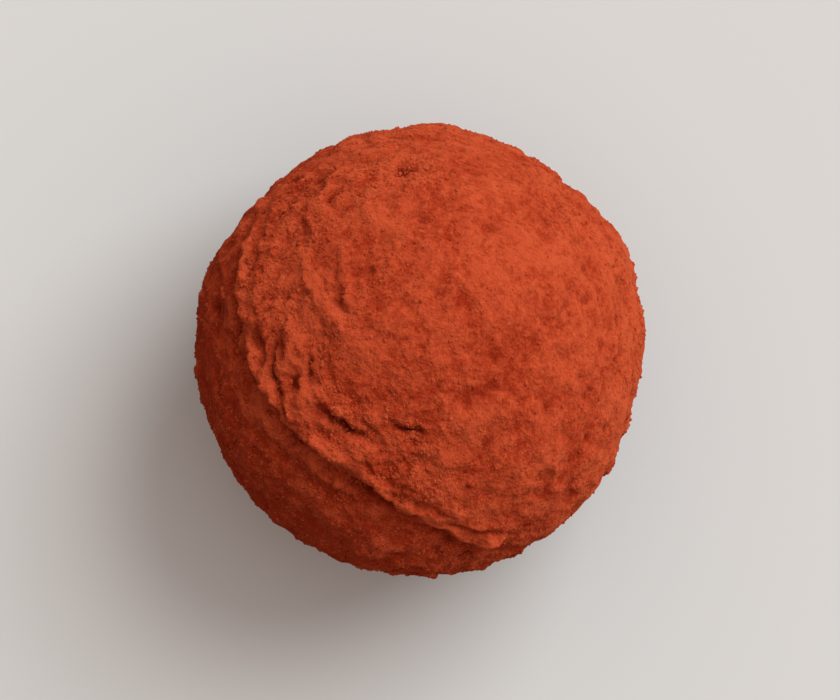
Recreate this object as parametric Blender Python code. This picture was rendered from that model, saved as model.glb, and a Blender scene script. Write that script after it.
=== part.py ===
"""A hand-rolled chocolate truffle dusted with cocoa powder, as one closed solid.

The ball starts as a cube cut into a grid and blown up to a sphere. Its radius then
changes with direction: slow waves make it uneven, broad swells and pressed flats give it
the outline of a hand-rolled piece, and a long seam runs across one side where the powder
packed into a ledge. It stands on a small flat foot. Metres, +Z up, with the origin under
the middle of the foot's plane.
"""

import math

import bmesh
import bpy
import numpy as np

# Driving dimensions
DIAMETER = 0.0250  # across the ball
FOOT_RADIUS = 0.0040  # the flat spot that it rests on
GRID = 26  # squares along each edge of the starting cube

# Slow unevenness all over
WAVE_COUNT = 14
WAVE_HEIGHT = 0.00007  # all the waves together, as one typical height
WAVE_LENGTHS = (0.0065, 0.0150)  # shortest and longest
WAVE_SEED = 11

# Swells (height above zero) and pressed flats (below zero), each a soft round patch:
# (compass angle from +X, angle above the middle, height, half width in degrees)
PATCHES = (
    (82, 6, 0.00022, 8),
    (31, 6, 0.00030, 8),
    (160, 6, 0.00040, 9),
    (48, 12, -0.00014, 13),
    (-14, 2, -0.00014, 22),
    (126, 8, -0.00014, 20),
    (-162, 4, -0.00016, 12),
    (-70, -24, 0.00024, 24),
    (15, -34, 0.00022, 22),
    (140, -40, -0.00020, 26),
    (215, 48, 0.00016, 16),
    (60, 62, 0.00014, 24),
)

# The seam: a circle around SEAM_POLE, SEAM_ANGLE degrees away from it
SEAM_POLE = (-0.560, -0.493, -0.666)
SEAM_ANGLE = 92.6
SEAM_DROP = 0.00042  # the smooth flank lies this much lower than the ball
SEAM_DROP_WIDTH = 2.6  # degrees over which the surface steps down
SEAM_FLANK_WIDTH = 21.0  # degrees over which the flank comes back to the ball
SEAM_ROLL = 0.00024  # the roll beside the step stands this much proud
SEAM_ROLL_WIDTH = 5.0
SEAM_WANDER = 3.0  # degrees by which the seam strays from its circle
SEAM_WANDERS = 4  # how often it strays each way, in one turn around the pole
SEAM_HALF_LENGTH = 62.0  # degrees around the pole, from the middle to each end

COCOA_COLOUR = (0.413, 0.045, 0.0135)  # linear
COCOA_ROUGHNESS = 0.95


def clear_scene():
    """Remove every object that the file opened with."""
    for item in list(bpy.data.objects):
        bpy.data.objects.remove(item, do_unlink=True)


def unit(vector):
    """The vector, or each row of an array of them, at length 1."""
    vector = np.asarray(vector, dtype=float)
    return vector / np.linalg.norm(vector, axis=-1, keepdims=True)


def direction(compass, above):
    """The unit vector at a compass angle from +X and an angle above the middle, in degrees."""
    around, up = math.radians(compass), math.radians(above)
    return np.array((math.cos(up) * math.cos(around), math.cos(up) * math.sin(around), math.sin(up)))


def waves(rays):
    """Slow random waves: a sum of sines that run through space in seeded directions."""
    dice = np.random.default_rng(WAVE_SEED)
    total = np.zeros(len(rays))
    for _ in range(WAVE_COUNT):
        heading = unit(dice.normal(size=3))
        length = dice.uniform(*WAVE_LENGTHS)
        phase = dice.uniform(0.0, 2.0 * math.pi)
        total += np.sin(rays @ heading * math.pi * DIAMETER / length + phase)
    return total * WAVE_HEIGHT * math.sqrt(2.0 / WAVE_COUNT)


def patches(rays):
    """Swells and flats: each adds its height times a bell curve of the angle to its middle."""
    total = np.zeros(len(rays))
    for compass, above, height, half_width in PATCHES:
        angle = np.degrees(np.arccos(np.clip(rays @ direction(compass, above), -1.0, 1.0)))
        total += height * np.exp(-((angle / half_width) ** 2))
    return total


def seam(rays):
    """The packed seam: a roll on the near side of its circle, a step down, then a smooth flank."""
    pole = unit(SEAM_POLE)
    middle = unit(np.array((0.0, 0.0, 1.0)) - pole[2] * pole)  # the seam's highest point
    side = np.cross(pole, middle)
    around = np.degrees(np.arctan2(rays @ side, rays @ middle))
    from_pole = np.degrees(np.arccos(np.clip(rays @ pole, -1.0, 1.0)))
    outside = SEAM_ANGLE - from_pole - SEAM_WANDER * np.sin(np.radians(SEAM_WANDERS * around))

    step = 0.5 + 0.5 * np.tanh(outside / SEAM_DROP_WIDTH)
    flank = np.exp(-((np.maximum(outside, 0.0) / SEAM_FLANK_WIDTH) ** 2))
    roll = np.exp(-(((outside + SEAM_ROLL_WIDTH) / SEAM_ROLL_WIDTH) ** 2))
    ends = np.exp(-((around / SEAM_HALF_LENGTH) ** 4))
    return ends * (SEAM_ROLL * roll - SEAM_DROP * step * flank)


def truffle_points(rays):
    """Points of the surface along unit rays, standing on the foot, origin under its middle."""
    radius = DIAMETER / 2.0 + waves(rays) + patches(rays) + seam(rays)
    points = rays * radius[:, None]
    foot_depth = math.sqrt((DIAMETER / 2.0) ** 2 - FOOT_RADIUS**2)
    points[:, 2] = np.maximum(points[:, 2], -foot_depth)
    middle = (points.max(axis=0) + points.min(axis=0)) / 2.0
    return points - (middle[0], middle[1], points[:, 2].min())


def make_cocoa():
    """Matt cocoa powder."""
    cocoa = bpy.data.materials.new("cocoa_powder")
    cocoa.use_nodes = True
    shader = cocoa.node_tree.nodes["Principled BSDF"]
    shader.inputs["Base Color"].default_value = (*COCOA_COLOUR, 1.0)
    shader.inputs["Roughness"].default_value = COCOA_ROUGHNESS
    shader.inputs["Metallic"].default_value = 0.0
    return cocoa


def make_truffle():
    """A gridded cube whose points are moved onto the truffle's surface."""
    form = bmesh.new()
    bmesh.ops.create_cube(form, size=2.0)
    bmesh.ops.subdivide_edges(form, edges=form.edges[:], cuts=GRID - 1, use_grid_fill=True)

    on_cube = np.array([vertex.co for vertex in form.verts], dtype=float)
    rays = unit(np.tan(on_cube * math.pi / 4.0))  # the tangent keeps the squares even
    for vertex, place in zip(form.verts, truffle_points(rays)):
        vertex.co = place

    bmesh.ops.triangulate(form, faces=form.faces[:], quad_method="SHORT_EDGE")
    mesh = bpy.data.meshes.new("truffle")
    form.to_mesh(mesh)
    form.free()
    mesh.shade_smooth()
    mesh.materials.append(make_cocoa())

    truffle = bpy.data.objects.new("truffle", mesh)
    bpy.context.scene.collection.objects.link(truffle)
    return truffle


clear_scene()
make_truffle()
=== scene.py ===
import itertools
import math

import bpy
import numpy as np
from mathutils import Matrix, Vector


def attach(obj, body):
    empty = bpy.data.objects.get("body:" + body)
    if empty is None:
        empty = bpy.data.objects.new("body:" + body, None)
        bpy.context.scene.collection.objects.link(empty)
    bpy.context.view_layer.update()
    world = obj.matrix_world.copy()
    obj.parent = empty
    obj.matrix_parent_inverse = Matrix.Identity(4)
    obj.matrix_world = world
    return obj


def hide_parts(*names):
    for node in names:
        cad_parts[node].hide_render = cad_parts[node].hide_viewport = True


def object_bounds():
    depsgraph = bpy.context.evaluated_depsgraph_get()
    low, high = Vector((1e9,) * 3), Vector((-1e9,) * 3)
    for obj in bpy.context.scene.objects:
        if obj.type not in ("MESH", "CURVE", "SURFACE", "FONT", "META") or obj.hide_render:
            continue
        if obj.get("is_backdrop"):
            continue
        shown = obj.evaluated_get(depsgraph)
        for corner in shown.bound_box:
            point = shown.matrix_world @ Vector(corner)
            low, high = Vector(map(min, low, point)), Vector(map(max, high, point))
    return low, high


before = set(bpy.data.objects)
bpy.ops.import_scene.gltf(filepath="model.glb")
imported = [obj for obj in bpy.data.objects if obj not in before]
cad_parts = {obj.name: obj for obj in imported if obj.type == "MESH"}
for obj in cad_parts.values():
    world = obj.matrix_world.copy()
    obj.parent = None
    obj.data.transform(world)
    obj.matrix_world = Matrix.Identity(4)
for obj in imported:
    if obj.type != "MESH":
        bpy.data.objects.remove(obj)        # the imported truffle, which stays where it is
cadLow, cadHigh = (np.array(corner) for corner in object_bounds())
ballRadius = (cadHigh - cadLow)[:2].mean() / 2.0
print("frame loaded")


def unit(vectors):
    # each row at length 1
    vectors = np.asarray(vectors, dtype=float)
    return vectors / np.linalg.norm(vectors, axis=-1, keepdims=True)


def direction(compass, above):
    # the unit vector at a compass angle from +X and an angle above the middle, in degrees
    around, up = math.radians(compass), math.radians(above)
    return np.array((math.cos(up) * math.cos(around), math.cos(up) * math.sin(around), math.sin(up)))


def smoothStep(low, high, values):
    # 0 below low, 1 above high, and 3t^2 - 2t^3 between
    t = np.clip((values - low) / (high - low), 0.0, 1.0)
    return t * t * (3.0 - 2.0 * t)


def bell(values, middle, width):
    # 1 at the middle, falling by e to the minus square of the distance in widths
    return np.exp(-(((values - middle) / width) ** 2))


def noise(points, size, seed):
    # gradient noise: at each corner of a lattice cell a seeded slope times the way to the point,
    # the eight values blended by 6t^5 - 15t^4 + 10t^3; about -1 to 1
    dice = np.random.default_rng(seed)
    order = dice.permutation(256)
    slopes = unit(dice.normal(size=(256, 3)))
    cell = points / size + dice.uniform(0.0, 256.0, 3)
    corner = np.floor(cell).astype(int)
    inside = cell - corner
    fade = inside ** 3 * (inside * (inside * 6.0 - 15.0) + 10.0)
    total = np.zeros(len(points))
    for step in itertools.product((0, 1), repeat=3):
        spot = (corner + step) % 256
        key = order[(order[(order[spot[:, 0]] + spot[:, 1]) % 256] + spot[:, 2]) % 256]
        share = np.prod(np.where(step, fade, 1.0 - fade), axis=1)
        total += np.einsum("ij,ij->i", slopes[key], inside - step) * share
    return total * 1.7       # the corners' shares cancel in part, and this makes up for it


def layered(points, size, seed, layers):
    # noise at half the size and half the height with each layer
    total = np.zeros(len(points))
    for layer in range(layers):
        total += noise(points, size / 2 ** layer, seed + layer) / 2 ** layer
    return total


def folded(points, size, seed, layers, gain):
    # the same of 1 - 2.6|noise|, which has sharp ridges and round hollows, with gain times the
    # height with each layer; about -1 to 1
    total = np.zeros(len(points))
    for layer in range(layers):
        total += (1.0 - 2.6 * np.abs(noise(points, size / 2 ** layer, seed + layer))) * gain ** layer
    return total / 1.6


def cobbled(points, size, seed):
    # one seeded point in each lattice cell: 1 less the squared distance to the nearest of them,
    # at least 0, so that the surface is a heap of round grains
    dice = np.random.default_rng(seed)
    order = dice.permutation(256)
    jitter = dice.random((256, 3))
    cell = points / size + dice.uniform(0.0, 256.0, 3)
    corner = np.floor(cell).astype(int)
    inside = cell - corner
    nearest = np.full(len(points), 9.0)
    for step in itertools.product((-1, 0, 1), repeat=3):
        spot = (corner + step) % 256
        key = order[(order[(order[spot[:, 0]] + spot[:, 1]) % 256] + spot[:, 2]) % 256]
        way = jitter[key] + step - inside
        nearest = np.minimum(nearest, np.einsum("ij,ij->i", way, way))
    return np.clip(1.0 - nearest, 0.0, 1.0)


ball = {
    "node": "truffle",
    "squares": 128,              # along each edge of the cube that is blown up into the ball
    "footRadius": 0.0040,        # the flat spot under it
    "footFade": (-0.96, -0.90),  # the relief fades out between these heights, in radii
    "waveCount": 14,             # slow waves that make the ball uneven
    "waveHeight": 0.00007,
    "waveLengths": (0.0065, 0.0150),
    "waveSeed": 11,
    # swells and pressed flats: compass angle, angle above the middle, height, half width in degrees
    "patches": (
        (82, 6, 0.00022, 8),
        (31, 6, 0.00030, 8),
        (160, 6, 0.00040, 9),
        (48, 12, -0.00014, 13),
        (-14, 2, -0.00014, 22),
        (126, 8, -0.00014, 20),
        (-162, 4, -0.00016, 12),
        (-70, -24, 0.00024, 24),
        (15, -34, 0.00022, 22),
        (140, -40, -0.00020, 26),
        (215, 48, 0.00016, 16),
        (60, 62, 0.00014, 24),
    ),
}


def cubeGrid(squares):
    # a cube's surface as squares x squares quads a side, welded where the sides meet:
    # whole-number corner places, the quads, and each quad corner's place in its own side
    steps = np.arange(squares + 1)
    first, second = (grid.ravel() for grid in np.meshgrid(steps, steps, indexing="ij"))
    places, sides, quads = [], [], []
    a = (np.arange(squares)[:, None] * (squares + 1) + np.arange(squares)[None, :]).ravel()
    square = np.stack((a, a + squares + 1, a + squares + 2, a + 1), axis=1)
    for axis in range(3):
        for end in (0, squares):
            place = np.empty((len(first), 3), dtype=int)
            place[:, axis] = end
            place[:, (axis + 1) % 3] = first
            place[:, (axis + 2) % 3] = second
            turned = square if end else square[:, ::-1]
            quads.append(turned + len(places) * len(first))
            sides.append(np.stack((first, second), axis=1))
            places.append(place)
    places, sides, quads = np.concatenate(places), np.concatenate(sides), np.concatenate(quads)
    key = (places[:, 0] * (squares + 1) + places[:, 1]) * (squares + 1) + places[:, 2]
    _, kept, back = np.unique(key, return_index=True, return_inverse=True)
    return places[kept], back.ravel()[quads], sides[quads]


def raysOf(places, squares):
    # cube points to unit directions; the tangent keeps the squares even
    return unit(np.tan((places / squares * 2.0 - 1.0) * math.pi / 4.0))


def bells(rays, spots):
    # the sum of each spot's height times a bell curve of the angle to its middle
    total = np.zeros(len(rays))
    for compass, above, height, halfWidth in spots:
        angle = np.degrees(np.arccos(np.clip(rays @ direction(compass, above), -1.0, 1.0)))
        total += height * bell(angle, 0.0, halfWidth)
    return total


def waves(rays):
    # the sum of sines that run through space in seeded directions, scaled to one typical height
    dice = np.random.default_rng(ball["waveSeed"])
    total = np.zeros(len(rays))
    for _ in range(ball["waveCount"]):
        heading = unit(dice.normal(size=3))
        length = dice.uniform(*ball["waveLengths"])
        phase = dice.uniform(0.0, 2.0 * math.pi)
        total += np.sin(rays @ heading * 2.0 * math.pi * ballRadius / length + phase)
    return total * ball["waveHeight"] * math.sqrt(2.0 / ball["waveCount"])


seam = {
    "pole": (-0.560, -0.493, -0.666),
    "angle": 92.6,               # degrees from the pole to the seam
    "drop": 0.00042,             # the smooth flank lies this much lower
    "dropWidth": 2.6,
    "flankWidth": 21.0,
    "roll": 0.00024,             # the roll beside the step stands this proud
    "rollWidth": 5.0,
    "wander": 3.0,               # degrees that it strays from its circle, and how often in a turn
    "wanders": 4,
    "halfLength": 62.0,
    "ridge": 0.00034,            # the sharp edge on top of the step
    "ridgePlace": -1.2,          # degrees outside the seam
    "ridgeWidth": 1.7,
    "ridgeBreaks": (0.85, 0.90), # its share of that height on average, and how far it comes and goes
    "breakSize": 0.20,           # over this length, in radii
    "wobble": 1.1,               # degrees that it strays at random, and over what length
    "wobbleSize": 0.16,
    # furrows beside it: degrees outside the seam, width, and depth as a share of the ridge
    "furrows": (
        (2.4, 2.04, 0.70),
        (-5.2, 1.8, 0.62),
    ),
    "streak": 0.00005,           # fine lines beside it, along it
    "streakSizes": (1.6, 16.0),  # degrees across the seam and along it
    "reach": (26.0, 75.0),       # degrees across and along in which the powder follows the seam
    "dryEdge": 0.42,             # how much paler the loose powder on the ridge is
    "dryEdgePlace": -1.8,
    "dryEdgeWidth": 2.4,
    "dryEdgeBreaks": (0.70, 0.90),
}


def seamPlaces(rays):
    # degrees outside the seam's circle, and degrees along it from its highest point
    pole = unit(seam["pole"])
    middle = unit(np.array((0.0, 0.0, 1.0)) - pole[2] * pole)
    along = np.degrees(np.arctan2(rays @ np.cross(pole, middle), rays @ middle))
    fromPole = np.degrees(np.arccos(np.clip(rays @ pole, -1.0, 1.0)))
    wander = seam["wander"] * np.sin(np.radians(seam["wanders"] * along))
    return seam["angle"] - fromPole - wander, along


def seamEnds(along):
    # 1 along the seam, fading out at its two ends by a fourth power
    return np.exp(-((along / seam["halfLength"]) ** 4))


def breaks(rays, levels, seed):
    # a share that comes and goes: its average plus noise times its swing
    average, swing = levels
    return average + swing * noise(rays, seam["breakSize"], seed)


def seamHeight(rays):
    # a roll on the near side, a step down by tanh, then a flank that comes back to the ball
    outside, along = seamPlaces(rays)
    step = 0.5 + 0.5 * np.tanh(outside / seam["dropWidth"])
    flank = bell(np.maximum(outside, 0.0), 0.0, seam["flankWidth"])
    roll = bell(outside, -seam["rollWidth"], seam["rollWidth"])
    return seamEnds(along) * (seam["roll"] * roll - seam["drop"] * step * flank)


relief = {
    "seed": 40,
    "warp": 0.00030,             # how far the fine features are bent sideways, and over what length
    "warpSize": 0.0009,
    "lumpHeight": 0.00009,       # broad lumps
    "lumpSize": 0.0040,
    # shares are of the height, where the powder is packed and where it lies loose
    "mottleHeight": 0.00023,     # low lumps all over
    "mottleSize": 0.0014,
    "mottleShares": (0.95, 0.85),
    "flakeHeight": 0.00009,      # packed patches that end in a small step
    "flakeSize": 0.0028,
    "flakeEdge": (-0.10, 0.04),  # the step lies between these values of their noise
    "flakeShares": (0.45, 1.0),
    "rubHeight": 0.00007,        # lines left by rolling between the hands
    "rubHeading": 118.0,
    "rubSizes": (0.0060, 0.0009, 0.0016),   # along the lines, across them, and downwards
    "crumpleHeight": 0.00018,    # little folds where the powder lies loose
    "crumpleSize": 0.0022,
    "crumpleShares": (0.15, 1.0),
    "seamCrumpleSizes": (2.4, 4.5),         # degrees across and along the seam, drawn out along it
    "seamCrumpleSize": 2.6,                 # as a multiple of those
    "cobbleHeights": (0.00013, 0.00008),    # clotted powder, as a cobble of round grains
    "cobbleSizes": (0.00085, 0.00050),
    "cobbleShares": (0.5, 1.0),
    "looseSize": 0.0065,
    "looseNoise": 0.9,
    "looseRange": (-0.45, 0.75), # packed smooth below, loose above
    # where the powder lies loose (above zero) or packed smooth (below zero)
    "looseSpots": (
        (205, 55, 0.9, 24),
        (165, 48, 0.5, 22),
        (118, 38, 0.6, 18),
        (250, 62, 0.5, 16),
        (-68, 34, 0.5, 16),
        (40, 55, -0.7, 38),
        (225, 12, -0.7, 26),
        (-32, 46, -1.0, 30),
    ),
    # where it is drier and paler (above zero) or darker; the dark spots low on the left, lower and
    # upper-left rims, away from the key light, are painted shade, and the pale spots low on the right rim
    # are a painted highlight
    "drySpotsAndPaintedLight": (
        # painted shade on the rims away from the key light
        (228, 8, -0.56, 34),
        (178, 10, -0.42, 24),
        (276, 8, -0.36, 22),
        (138, 4, -0.34, 22),
        # paler patches
        (40, 48, 0.10, 40),
        (168, 50, 0.34, 20),
        (214, 46, 0.22, 12),
        # painted highlight on the right rim, towards the key light
        (2, 10, 0.26, 24),
        (-34, 10, 0.20, 20),
    ),
    # compass angle, angle above the middle, heading seen from above, half length, half width, depth
    "creases": (
        (223, 62, -36, 0.00160, 0.00028, 0.00064),
        (262, 69, -26, 0.00110, 0.00025, 0.00058),
        (-76, 36, -40, 0.00270, 0.00022, 0.00026),
        (191, 60, 84, 0.00120, 0.00020, 0.00034),
        (184, 50, 80, 0.00130, 0.00022, 0.00046),
        (199, 50, -66, 0.00130, 0.00022, 0.00044),
        (212, 47, -50, 0.00090, 0.00022, 0.00036),
        (150, 67, -50, 0.00055, 0.00027, 0.00036),
        (120, 38, 40, 0.00070, 0.00027, 0.00040),
        (118, 27, 30, 0.00070, 0.00027, 0.00040),
        (134, 29, 60, 0.00070, 0.00029, 0.00040),
        (165, 52, -70, 0.00090, 0.00022, 0.00030),
        (236, 66, -40, 0.00070, 0.00022, 0.00034),
        (-70, 24, 10, 0.00050, 0.00030, 0.00030),
        (4, 27, 95, 0.00170, 0.00032, 0.00020),
        (-24, 25, 70, 0.00150, 0.00030, 0.00016),
    ),
    # the same, with a height in place of the depth
    "lumps": (
        (158, 64, -53, 0.00140, 0.00044, 0.00024),
        (133, 62, -79, 0.00170, 0.00040, 0.00022),
        (146, 54, -62, 0.00150, 0.00036, 0.00022),
        (176, 55, -70, 0.00130, 0.00034, 0.00022),
        (-69, 28, -30, 0.00070, 0.00045, 0.00030),
        (-33, 84, -68, 0.00140, 0.00040, 0.00009),
        (240, 59, -36, 0.00140, 0.00050, 0.00016),
        (262, 63, -20, 0.00080, 0.00045, 0.00014),
        (212, 54, -50, 0.00120, 0.00050, 0.00014),
    ),
    # random ones: how many, half lengths, half width as a share of the half length, height as a
    # share of the half width, and the chance of one as packed + loose ^ power
    "moreCreases": {
        "seed": 70,
        "count": 120,
        "lengths": (0.00025, 0.0013),
        "thinness": (0.18, 0.45),
        "heights": (0.35, 0.65),
        "packed": 0.05,
        "power": 2,
    },
    "dimples": {
        "seed": 75,
        "count": 460,
        "lengths": (0.00016, 0.00045),
        "thinness": (0.6, 1.0),
        "heights": (-0.60, -0.25),
        "packed": 0.3,
        "power": 1,
    },
    "moreLumps": {
        "seed": 80,
        "count": 380,
        "lengths": (0.00020, 0.0008),
        "thinness": (0.5, 1.0),
        "heights": (0.12, 0.40),
        "packed": 0.15,
        "power": 2,
    },
}


def stamp(rays, spot, shape):
    # one small feature: its height times shape(along, across), in half lengths and half widths
    compass, above, heading, halfLength, halfWidth, height = spot
    middle = direction(compass, above)
    turn = math.radians(heading)
    ahead = np.array((math.cos(turn), math.sin(turn), 0.0))
    ahead = unit(ahead - (ahead @ middle) * middle)
    aside = np.cross(middle, ahead)
    near = rays @ middle > math.cos(4.0 * halfLength / ballRadius)
    total = np.zeros(len(rays))
    along = rays[near] @ ahead * ballRadius / halfLength
    across = rays[near] @ aside * ballRadius / halfWidth
    total[near] = height * shape(along, across)
    return total


def creaseShape(along, across):
    # a furrow, e to the minus |across|^1.5, with a lip 0.45 as high 1.9 half widths beside it; both
    # end by e to the minus along^4
    furrow = np.exp(-along ** 4 - np.abs(across) ** 1.5)
    lip = np.exp(-along ** 4 - (across - 1.9) ** 2)
    return 0.45 * lip - furrow


def lumpShape(along, across):
    # a flat-topped lump: tanh of the way in from its round edge, made steep by 3
    return 0.5 + 0.5 * np.tanh(3.0 * (1.0 - np.hypot(along, across)))


def scatterSpots(kind, rays, loose):
    # random spots for stamp; lengths run as short x (long / short) ^ (chance ^ 1.5)
    dice = np.random.default_rng(relief["seed"] + kind["seed"])
    chance = kind["packed"] + loose ** kind["power"]
    chosen = dice.choice(len(rays), size=kind["count"], replace=False, p=chance / chance.sum())
    shortest, longest = kind["lengths"]
    spots = []
    for x, y, z in rays[chosen]:
        halfLength = shortest * (longest / shortest) ** dice.random() ** 1.5
        halfWidth = halfLength * dice.uniform(*kind["thinness"])
        compass, above = math.degrees(math.atan2(y, x)), math.degrees(math.asin(z))
        heading = dice.uniform(0.0, 180.0)
        height = dice.uniform(*kind["heights"]) * halfWidth
        spots.append((compass, above, heading, halfLength, halfWidth, height))
    return spots


def looseness(rays, points):
    # 0 where the powder is packed smooth and 1 where it lies loose: slow noise and the named spots
    slow = layered(points, relief["looseSize"], relief["seed"], layers=2)
    spots = bells(rays, relief["looseSpots"])
    return smoothStep(*relief["looseRange"], slow * relief["looseNoise"] + spots)


def warped(points):
    # rays bent sideways by small noise, so that no feature keeps a ruled edge
    seed = relief["seed"] + 10
    size = relief["warpSize"]
    bend = np.stack([layered(points, size, seed + axis, layers=2) for axis in range(3)], axis=1)
    return unit(points + bend * relief["warp"])


def rubLines(points):
    # noise drawn out along one level heading
    turn = math.radians(relief["rubHeading"])
    ahead = np.array((math.cos(turn), math.sin(turn), 0.0))
    aside = np.array((-ahead[1], ahead[0], 0.0))
    drawn = np.stack((points @ ahead, points @ aside, points[:, 2]), axis=1) / relief["rubSizes"]
    return layered(drawn, 1.0, relief["seed"] + 55, layers=2)


def seamRelief(rays, outside, along, nearSeam):
    # the ridge less its furrows, coming and going, and lines beside it that fade away from the seam
    seed = relief["seed"]
    outside = outside + seam["wobble"] * layered(rays, seam["wobbleSize"], seed + 90, layers=2)
    edge = bell(outside, seam["ridgePlace"], seam["ridgeWidth"])
    for place, width, share in seam["furrows"]:
        edge -= share * bell(outside, place, width)
    edge *= breaks(rays, seam["ridgeBreaks"], seed + 93)
    across, lengthwise = seam["streakSizes"]
    onBall = np.stack((outside / across, along / lengthwise, np.zeros(len(rays))), axis=1)
    streaks = noise(onBall, 1.0, seed + 50)
    return seam["ridge"] * edge * seamEnds(along) + seam["streak"] * streaks * nearSeam


def crumpled(points, outside, along, nearSeam):
    # little folds, which near the seam are drawn out along it
    across, lengthwise = relief["seamCrumpleSizes"]
    onBall = np.stack((outside / across, along / lengthwise, np.zeros(len(points))), axis=1)
    seed = relief["seed"]
    free = folded(points, relief["crumpleSize"], seed + 40, layers=3, gain=0.45)
    beside = folded(onBall, relief["seamCrumpleSize"], seed + 45, layers=3, gain=0.45)
    return free * (1.0 - nearSeam) + beside * nearSeam


def stampAll(rays, spots, shape):
    # the sum of the stamps
    total = np.zeros(len(rays))
    for spot in spots:
        total += stamp(rays, spot, shape)
    return total


def powderRelief(rays):
    # all the fine heights together, those that colour the powder, and how loose it lies
    points = rays * ballRadius
    seed = relief["seed"]
    loose = looseness(rays, points)
    bent = warped(points)
    bentPoints = bent * ballRadius
    outside, along = seamPlaces(bent)
    acrossReach, alongReach = seam["reach"]
    nearSeam = bell(outside, 0.0, acrossReach) * np.exp(-((along / alongReach) ** 4))

    def shared(shares):
        # the first share where the powder is packed, rising to the second where it lies loose
        return shares[0] + (shares[1] - shares[0]) * loose

    broad = layered(points, relief["lumpSize"], seed + 20, layers=2) * relief["lumpHeight"]
    fine = seamRelief(rays, outside, along, nearSeam)
    flake = layered(bentPoints, relief["flakeSize"], seed + 30, layers=3)
    flake = smoothStep(*relief["flakeEdge"], flake)
    fine += (flake - 0.5) * relief["flakeHeight"] * shared(relief["flakeShares"])
    mottle = layered(bentPoints, relief["mottleSize"], seed + 35, layers=2)
    fine += mottle * relief["mottleHeight"] * shared(relief["mottleShares"])
    fine += rubLines(bentPoints) * relief["rubHeight"]
    crumple = crumpled(bentPoints, outside, along, nearSeam)
    fine += crumple * relief["crumpleHeight"] * shared(relief["crumpleShares"])
    for index, (size, tall) in enumerate(zip(relief["cobbleSizes"], relief["cobbleHeights"])):
        cobble = cobbled(bentPoints, size, seed + 60 + index)
        fine += (cobble - 0.7) * tall * shared(relief["cobbleShares"])     # 0.7 is about its average

    creases = scatterSpots(relief["moreCreases"], rays, loose)
    dimples = scatterSpots(relief["dimples"], rays, loose)
    lumps = scatterSpots(relief["moreLumps"], rays, loose)
    fine += stampAll(bent, list(relief["creases"]) + creases, creaseShape)
    fine += stampAll(bent, list(relief["lumps"]) + lumps + dimples, lumpShape)
    return broad + fine, fine, loose


def trufflePoints(rays, extra):
    # the smooth form fitted into the frame's box, with the extra heights along the rays
    width = cadHigh - cadLow
    fromMiddle = ballRadius + waves(rays) + bells(rays, ball["patches"]) + seamHeight(rays)
    smooth = rays * fromMiddle[:, None]
    footDepth = math.sqrt(ballRadius ** 2 - ball["footRadius"] ** 2)
    smooth[:, 2] = np.maximum(smooth[:, 2], -footDepth)
    low, high = smooth.min(axis=0), smooth.max(axis=0)
    fitted = (smooth - low) / (high - low) * width + cadLow
    points = fitted + rays * extra[:, None]
    points[:, 2] = np.maximum(points[:, 2], cadLow[2])
    return points


def meshPiece(name, points, faces, attributes=None, corners=None, middle=None):
    # arrays to a mesh object at the origin, shaded smooth; middle is one face with any number of
    # corners
    rows = faces.tolist()
    if middle is not None:
        rows.append(middle.tolist())
    mesh = bpy.data.meshes.new(name)
    mesh.from_pydata(points.tolist(), [], rows)
    if corners is not None:
        mesh.uv_layers.new(name="OFBake").data.foreach_set("uv", corners.astype(np.float32).ravel())
    for label, values in (attributes or {}).items():
        mesh.attributes.new(label, "FLOAT", "POINT").data.foreach_set("value", values.astype(np.float32))
    mesh.shade_smooth()
    mesh.update()
    piece = bpy.data.objects.new(name, mesh)
    bpy.context.scene.collection.objects.link(piece)
    return piece


def tileCorners(inSide, squares, across=3, down=2, margin=0.012):
    # each cube side gets one tile of an across x down sheet
    perSide = len(inSide) // 6
    side = np.arange(len(inSide)) // perSide
    tile = np.stack((side % across, side // across), axis=1)[:, None, :]
    inTile = margin + inSide / squares * (1.0 - 2.0 * margin)
    return (tile + inTile) / (across, down)


def shellNormals(points, quads):
    # the cross product of each quad's diagonals, added up at its corners, and each quad's area
    cross = np.cross(points[quads[:, 2]] - points[quads[:, 0]], points[quads[:, 3]] - points[quads[:, 1]])
    normals = np.zeros_like(points)
    for corner in range(4):
        np.add.at(normals, quads[:, corner], cross)
    return unit(normals), np.linalg.norm(cross, axis=1) / 2.0


def drynessAndPaintedLight(rays):
    # the named dry spots, with painted shade on the rims away from the key light and a painted highlight
    # on the right rim, and a broken pale line along the seam's ridge
    outside, along = seamPlaces(rays)
    edge = bell(outside, seam["dryEdgePlace"], seam["dryEdgeWidth"]) * seamEnds(along)
    broken = breaks(rays, seam["dryEdgeBreaks"], relief["seed"] + 95)
    return bells(rays, relief["drySpotsAndPaintedLight"]) + seam["dryEdge"] * edge * broken


def makeShell():
    # the ball's surface with the relief on it; its attribute hollow is the depth in millimetres, which
    # the material turns into painted shade, and its dryness attribute holds drier patches with painted
    # light and shade
    squares = ball["squares"]
    places, quads, inSide = cubeGrid(squares)
    rays = raysOf(places, squares)
    extra, fine, loose = powderRelief(rays)
    extra *= smoothStep(*ball["footFade"], rays[:, 2])
    points = trufflePoints(rays, extra)
    attributes = {"hollow": -fine * 1000.0, "drynessAndPaintedLight": drynessAndPaintedLight(rays)}
    corners = tileCorners(inSide, squares).reshape(-1, 2)
    shell = meshPiece("cocoaShell", points, quads, attributes, corners)
    return shell, points, quads, loose


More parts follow.
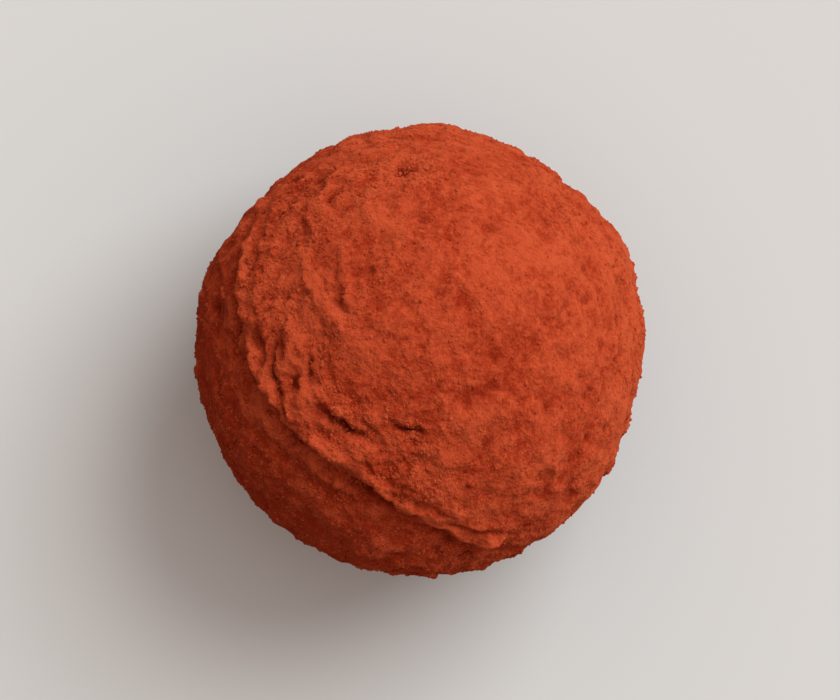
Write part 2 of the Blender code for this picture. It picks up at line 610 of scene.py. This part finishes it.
crumbs = {
    # sizes across, how much of each is under the surface, the chance of one where the powder is
    # packed, how deep the dents in it are, and its seed shape's squares (0 for an icosahedron)
    "cocoaCrumbs": {
        "count": 1400,
        "sizes": (0.00022, 0.00050),
        "sunk": 0.70,
        "packed": 0.04,
        "dents": 0.50,
        "squares": 2,
        "seed": 71,
    },
    "cocoaGrains": {
        "count": 9800,
        "sizes": (0.00012, 0.00030),
        "sunk": 0.60,
        "packed": 0.14,
        "dents": 0.62,
        "squares": 0,
        "seed": 72,
    },
    "cocoaDust": {
        "count": 9800,
        "sizes": (0.00008, 0.00016),
        "sunk": 0.45,
        "packed": 0.45,
        "dents": 0.70,
        "squares": 0,
        "seed": 73,
    },
}

strewing = {
    "clusterSize": 0.0018,               # the crumbs lie in clusters of about this size
    "clusterRange": (-0.5, 0.7),         # none below, all above, in their noise
    "aboveFoot": (0.0002, 0.0012),       # none below this height, and all above the second
    "stretch": (0.65, 1.35),
    "fullest": 1.15,                     # the farthest that a corner stands out
}


def seedShape(squares):
    # a grain before it is bent: a small gridded ball, or an icosahedron, whose corners are 0, +-1 and
    # +-the golden ratio in turn along the axes, and whose faces are the trios of corners 2 apart
    if squares:
        places, quads, _ = cubeGrid(squares)
        return raysOf(places, squares), quads
    golden = (1.0 + math.sqrt(5.0)) / 2.0
    corners = [(0, a, b * golden) for a in (-1, 1) for b in (-1, 1)]
    corners = np.array([np.roll(corner, turn) for turn in range(3) for corner in corners])
    trios = np.array(list(itertools.combinations(range(12), 3)))
    edge = np.linalg.norm(corners[trios] - corners[np.roll(trios, 1, axis=1)], axis=2)
    trios = trios[np.all(edge < 2.1, axis=1)]
    a, b, c = (corners[trios[:, index]] for index in range(3))
    inward = np.einsum("ij,ij->i", np.cross(b - a, c - a), a) < 0
    trios[inward] = trios[inward][:, ::-1]
    return unit(corners), trios


def cellCorners(faces):
    # every face fills its own small cell of a square sheet
    across = math.ceil(math.sqrt(len(faces)))
    cell = np.stack((np.arange(len(faces)) % across, np.arange(len(faces)) // across), axis=1)[:, None, :]
    square = np.array(((0.1, 0.1), (0.9, 0.1), (0.9, 0.9), (0.1, 0.9)))
    return (cell + square[:faces.shape[1]]) / across


def scatterCrumbs(name, settings, points, quads, loose):
    # copies of a seed shape, each stretched, dented, turned and part sunk into the powder; the chance
    # of a quad is its area x (packed + loose^1.5) x how far it is inside a cluster and off the floor
    dice = np.random.default_rng(settings["seed"])
    count = settings["count"]
    normals, areas = shellNormals(points, quads)
    middle = points[quads].mean(axis=1)
    cluster = layered(middle, strewing["clusterSize"], settings["seed"] + 5, layers=3)
    chance = areas * (settings["packed"] + loose[quads[:, 0]] ** 1.5)
    chance *= smoothStep(*strewing["clusterRange"], cluster)
    chance *= smoothStep(*strewing["aboveFoot"], middle[:, 2] - cadLow[2])
    chosen = dice.choice(len(quads), size=count, p=chance / chance.sum())
    mix = dice.dirichlet((1.0, 1.0, 1.0, 1.0), size=count)
    place = np.einsum("ij,ijk->ik", mix, points[quads[chosen]])
    normal = unit(np.einsum("ij,ijk->ik", mix, normals[quads[chosen]]))

    shape, faces = seedShape(settings["squares"])
    smallest, largest = settings["sizes"]
    size = smallest * (largest / smallest) ** (dice.random(count) ** 1.8) / 2.0
    stretch = dice.uniform(*strewing["stretch"], (count, 1, 3))
    dents = dice.uniform(settings["dents"], strewing["fullest"], (count, len(shape), 1))
    turned = np.linalg.qr(dice.normal(size=(count, 3, 3)))[0]
    turned *= np.sign(np.linalg.det(turned))[:, None, None]
    grains = np.einsum("nij,nkj->nki", turned, shape[None] * stretch * dents) * size[:, None, None]
    lift = size * (1.0 - 2.0 * settings["sunk"])
    grains += (place + normal * lift[:, None])[:, None, :]
    grains[:, :, 2] = np.maximum(grains[:, :, 2], cadLow[2])
    allFaces = faces[None] + (np.arange(count) * len(shape))[:, None, None]
    allFaces = allFaces.reshape(-1, faces.shape[1])
    tone = np.repeat(dice.random(count), len(shape))
    attributes = {"tone": tone, "hollow": np.zeros(len(tone))}
    corners = cellCorners(allFaces).reshape(-1, 2)
    return meshPiece(name, grains.reshape(-1, 3), allFaces, attributes, corners)


class Wire:
    # one output of a node: sums written with it become Math nodes; node makes any other node from
    # its settings and its sockets' values or links, and gives its output by name or place
    def __init__(self, tree, socket=None):
        self.tree, self.socket = tree, socket

    def node(self, kind, settings=None, sockets=None, output=0):
        made = self.tree.nodes.new("ShaderNode" + kind)
        for name, value in (settings or {}).items():
            setattr(made, name, value)
        for name, value in (sockets or {}).items():
            if isinstance(value, Wire):
                self.tree.links.new(value.socket, made.inputs[name])
            else:
                made.inputs[name].default_value = value
        return Wire(self.tree, made.outputs[output])

    def maths(self, operation, first, second):
        return self.node("Math", {"operation": operation}, {0: first, 1: second})

    def __add__(self, other):
        return self.maths("ADD", self, other)

    def __radd__(self, other):
        return self.maths("ADD", other, self)

    def __sub__(self, other):
        return self.maths("SUBTRACT", self, other)

    def __rsub__(self, other):
        return self.maths("SUBTRACT", other, self)

    def __mul__(self, other):
        return self.maths("MULTIPLY", self, other)

    def __rmul__(self, other):
        return self.maths("MULTIPLY", other, self)

    def clamped(self, low=0.0, high=1.0):
        return self.node("Clamp", None, {"Value": self, "Min": low, "Max": high})

    def mixed(self, first, second):
        # colours: the first where this is 0, the second where it is 1 (a Mix node's colours are its
        # inputs 6 and 7 and its output 2)
        return self.node("Mix", {"data_type": "RGBA"}, {0: self, 6: first, 7: second}, output=2)


cocoa = {
    "slot": "cocoa_powder",
    "dry": (0.575, 0.090, 0.0315, 1.0),      # loose, dry powder
    "packed": (0.365, 0.0325, 0.0090, 1.0),  # pressed powder with some cocoa butter in it
    "crackShade": (0.150, 0.0080, 0.0018, 1.0),    # painted shade in the cracks and hollows
    "patchSizes": (0.0032, 0.0011, 0.00040, 0.00015),
    "patchShares": (1.4, 1.3, 1.7, 1.8),
    "drynessAndLightShare": 1.2,                         # how much the attributes dryness (drier powder with painted light and shade), hollow (painted shade) and tone add
    "hollowShadeShare": 1.45,
    "toneShare": 0.7,
    "toneLevel": 0.2,
    "crackShadeSlope": 3.8,                        # painted crack shade = slope x hollow - start, from 0 to 1
    "crackShadeStart": 0.45,
    "crackShadeShare": 0.85,
    "roughness": (0.86, 1.0),
    "roughSize": 0.0007,
    "sheen": 0.18,
    "sheenRoughness": 0.40,
    "sheenTint": (1.0, 0.24, 0.11, 1.0),
    "specular": 0.05,
    "soft": 0.3,                             # how much light spreads inside the powder
    "softReach": 0.00018,
    "softColours": (1.0, 0.40, 0.25),
    "cobbleSizes": (0.00030, 0.00014),
    "cobbleHeights": (0.000085, 0.000046),
    "bumpSizes": (0.00045, 0.00009),
    "bumpHeights": (0.000130, 0.000044),
}


def cocoaMaterial(name, toned=False):
    # dry and packed powder mixed by noise in patches and specks, with painted shade in the hollows and
    # painted light and shade on the rims, with a bump that is noise less the distance to the nearest
    # grain
    material = bpy.data.materials.new(name)
    material.use_nodes = True
    tree = material.node_tree
    shader = tree.nodes["Principled BSDF"]
    start = Wire(tree)
    place = start.node("TexCoord", output="Object")

    def speckle(size, detail=2.0):
        sockets = {"Vector": place, "Scale": 1.0 / size, "Detail": detail, "Roughness": 0.55}
        return start.node("TexNoise", None, sockets)

    def cobble(size):
        return start.node("TexVoronoi", None, {"Vector": place, "Scale": 1.0 / size})

    hollow = start.node("Attribute", {"attribute_name": "hollow"}, output="Fac")
    patches = 0.5
    for size, share in zip(cocoa["patchSizes"], cocoa["patchShares"]):
        patches = (speckle(size, 3.0) - 0.5) * share + patches
    if toned:
        tone = start.node("Attribute", {"attribute_name": "tone"}, output="Fac")
        patches = patches + tone * cocoa["toneShare"] - cocoa["toneLevel"]
    else:
        # drier patches, with painted shade on the rims away from the key light and a painted highlight on
        # the right rim
        drynessAndPaintedLight = start.node("Attribute", {"attribute_name": "drynessAndPaintedLight"}, output="Fac")
        # painted shade: deeper hollows lean to the darker packed colour
        patches = patches + drynessAndPaintedLight * cocoa["drynessAndLightShare"] - hollow * cocoa["hollowShadeShare"]
    powder = patches.clamped().mixed(cocoa["packed"], cocoa["dry"])
    # painted shade: the dark crack colour is laid into the hollows by their depth
    crackShade = (hollow * cocoa["crackShadeSlope"] - cocoa["crackShadeStart"]).clamped() * cocoa["crackShadeShare"]
    colour = crackShade.mixed(powder, cocoa["crackShade"])
    roughLow, roughHigh = cocoa["roughness"]
    spread = (speckle(cocoa["roughSize"]) - 0.5) * 1.4 + 0.5         # noise stays near its middle
    rough = spread * (roughHigh - roughLow) + roughLow
    height = 0.0
    for size, tall in zip(cocoa["bumpSizes"], cocoa["bumpHeights"]):
        height = speckle(size) * tall + height
    for size, tall in zip(cocoa["cobbleSizes"], cocoa["cobbleHeights"]):
        height = height - cobble(size) * tall
    bump = start.node("Bump", None, {"Strength": 1.0, "Distance": 1.0, "Height": height})

    tree.links.new(colour.socket, shader.inputs["Base Color"])
    tree.links.new(rough.socket, shader.inputs["Roughness"])
    tree.links.new(bump.socket, shader.inputs["Normal"])
    shader.inputs["Diffuse Roughness"].default_value = 1.0
    shader.inputs["Subsurface Weight"].default_value = cocoa["soft"]
    shader.inputs["Subsurface Radius"].default_value = cocoa["softColours"]
    shader.inputs["Subsurface Scale"].default_value = cocoa["softReach"]
    shader.inputs["Specular IOR Level"].default_value = cocoa["specular"]
    shader.inputs["Sheen Weight"].default_value = cocoa["sheen"]
    shader.inputs["Sheen Roughness"].default_value = cocoa["sheenRoughness"]
    shader.inputs["Sheen Tint"].default_value = cocoa["sheenTint"]
    return material


def plainMaterial(name, colour, roughness):
    # one even, matt colour for the floor
    material = bpy.data.materials.new(name)
    material.use_nodes = True
    shader = material.node_tree.nodes["Principled BSDF"]
    shader.inputs["Base Color"].default_value = colour
    shader.inputs["Roughness"].default_value = roughness
    return material


studio = {
    "floorRadius": 12.0,
    "floorInner": 0.01,          # its middle face
    "floorRings": 12,
    "floorTurns": 48,
    "floorGap": 0.00002,         # it lies this much under the foot
    "floorColour": (0.67, 0.70, 0.72, 1.0),
    "floorRoughness": 0.9,
    "skyBright": (1.0, 0.930, 0.880, 1.0),   # towards the key light
    "skyDim": (1.0, 0.58, 0.40, 1.0),        # away from it
    "skyLevel": 0.12,            # the sky's brightness = level + tilt x cosine, kept in the range
    "skyTilt": 0.84,
    "skyRange": (0.08, 2.0),
    "skyAbove": 58.0,            # how high in the sky its bright side is
    "skyHueLevel": -0.1,         # share of the bright colour = tilt x cosine + level
    "skyHueTilt": 1.2,
    "backdrop": (0.71, 0.673, 0.645, 1.0),   # what shows above the floor's far edge
    "keyCompass": 44.0,
    "keyAbove": 48.0,
    "keyPower": 1.90,
    "keySpread": 40.0,           # degrees across, for soft shadows
    "keyColour": (0.99, 1.0, 0.97),
    "lens": 400.0,               # a long lens, so that the view is nearly flat
    "sensor": 36.0,
    "fill": 0.64,                # share of the picture's height that the truffle takes
    "picture": (840, 700),
}


def makeFloor():
    # a wide flat disc: rings of growing radius round a small middle face
    rings, turns = studio["floorRings"], studio["floorTurns"]
    radii = np.geomspace(studio["floorInner"], studio["floorRadius"], rings)
    angles = np.arange(turns) / turns * 2.0 * math.pi
    x = np.outer(radii, np.cos(angles)).ravel()
    y = np.outer(radii, np.sin(angles)).ravel()
    points = np.column_stack((x, y, np.full(len(x), cadLow[2] - studio["floorGap"])))
    ring, turn = np.meshgrid(np.arange(rings - 1), np.arange(turns), indexing="ij")
    ring, turn = ring.ravel(), turn.ravel()
    after = (turn + 1) % turns
    inner, outer = ring * turns, (ring + 1) * turns
    faces = np.stack((inner + turn, outer + turn, outer + after, inner + after), axis=1)
    floor = meshPiece("floor", points, faces, middle=np.arange(turns))
    paleFloor = plainMaterial("paleFloor", studio["floorColour"], studio["floorRoughness"])
    floor.data.materials.append(paleFloor)
    floor.visible_diffuse = False      # the truffle keeps dark sides, as on a dark tray
    floor.visible_shadow = False
    floor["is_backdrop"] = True


def makeSky():
    # a soft sky: brightness = level + tilt x cosine of the angle to the key light's side, and a
    # warmer colour away from it; the backdrop behind the object is even and pale
    world = bpy.data.worlds.new("softSky")
    world.use_nodes = True
    tree = world.node_tree
    start = Wire(tree)
    towards = tuple(direction(studio["keyCompass"], studio["skyAbove"]))
    way = start.node("TexCoord", output="Generated")     # in a sky, the direction looked in
    facing = start.node("VectorMath", {"operation": "DOT_PRODUCT"}, {0: way, 1: towards}, output="Value")
    level = (facing * studio["skyTilt"] + studio["skyLevel"]).clamped(*studio["skyRange"])
    hue = (facing * studio["skyHueTilt"] + studio["skyHueLevel"]).clamped()
    sky = hue.mixed(studio["skyDim"], studio["skyBright"])
    seen = start.node("LightPath", output="Is Camera Ray")
    colour = seen.mixed(sky, studio["backdrop"])
    strength = seen + (1.0 - seen) * level
    background = tree.nodes["Background"]
    tree.links.new(colour.socket, background.inputs["Color"])
    tree.links.new(strength.socket, background.inputs["Strength"])
    bpy.context.scene.world = world


def makeKey():
    # a soft sun that shines down from its compass angle
    key = bpy.data.lights.new("keyLight", "SUN")
    key.angle = math.radians(studio["keySpread"])
    key.energy = studio["keyPower"]
    key.color = studio["keyColour"]
    lamp = bpy.data.objects.new("keyLight", key)
    lamp.location = direction(studio["keyCompass"], studio["keyAbove"])
    tilt, turn = math.radians(90.0 - studio["keyAbove"]), math.radians(studio["keyCompass"] + 90.0)
    lamp.rotation_euler = (tilt, 0.0, turn)
    bpy.context.scene.collection.objects.link(lamp)


def makeCamera():
    # straight above the middle, with the picture's top towards +Y, at picture width x lens / sensor
    middle = (cadLow + cadHigh) / 2.0
    view = bpy.data.cameras.new("camera")
    view.lens = studio["lens"]
    view.sensor_width = studio["sensor"]
    view.clip_end = 50.0
    camera = bpy.data.objects.new("camera", view)
    wide, tall = studio["picture"]
    pictureWidth = (cadHigh - cadLow)[1] / studio["fill"] * wide / tall
    camera.location = (middle[0], middle[1], middle[2] + pictureWidth * studio["lens"] / studio["sensor"])
    bpy.context.scene.collection.objects.link(camera)
    bpy.context.scene.camera = camera
    bpy.context.scene.view_settings.view_transform = "Standard"


shell, points, quads, loose = makeShell()
shell.data.materials.append(cocoaMaterial("cocoaCoat"))
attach(shell, "root")
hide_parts(ball["node"])
print("shell made:", len(points), "points")

looseCocoa = cocoaMaterial("looseCocoa", toned=True)
for name, settings in crumbs.items():
    piece = scatterCrumbs(name, settings, points, quads, loose)
    piece.data.materials.append(looseCocoa)
    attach(piece, "root")
    print(name, "made")

makeFloor()
makeSky()
makeKey()
makeCamera()
print("studio made")
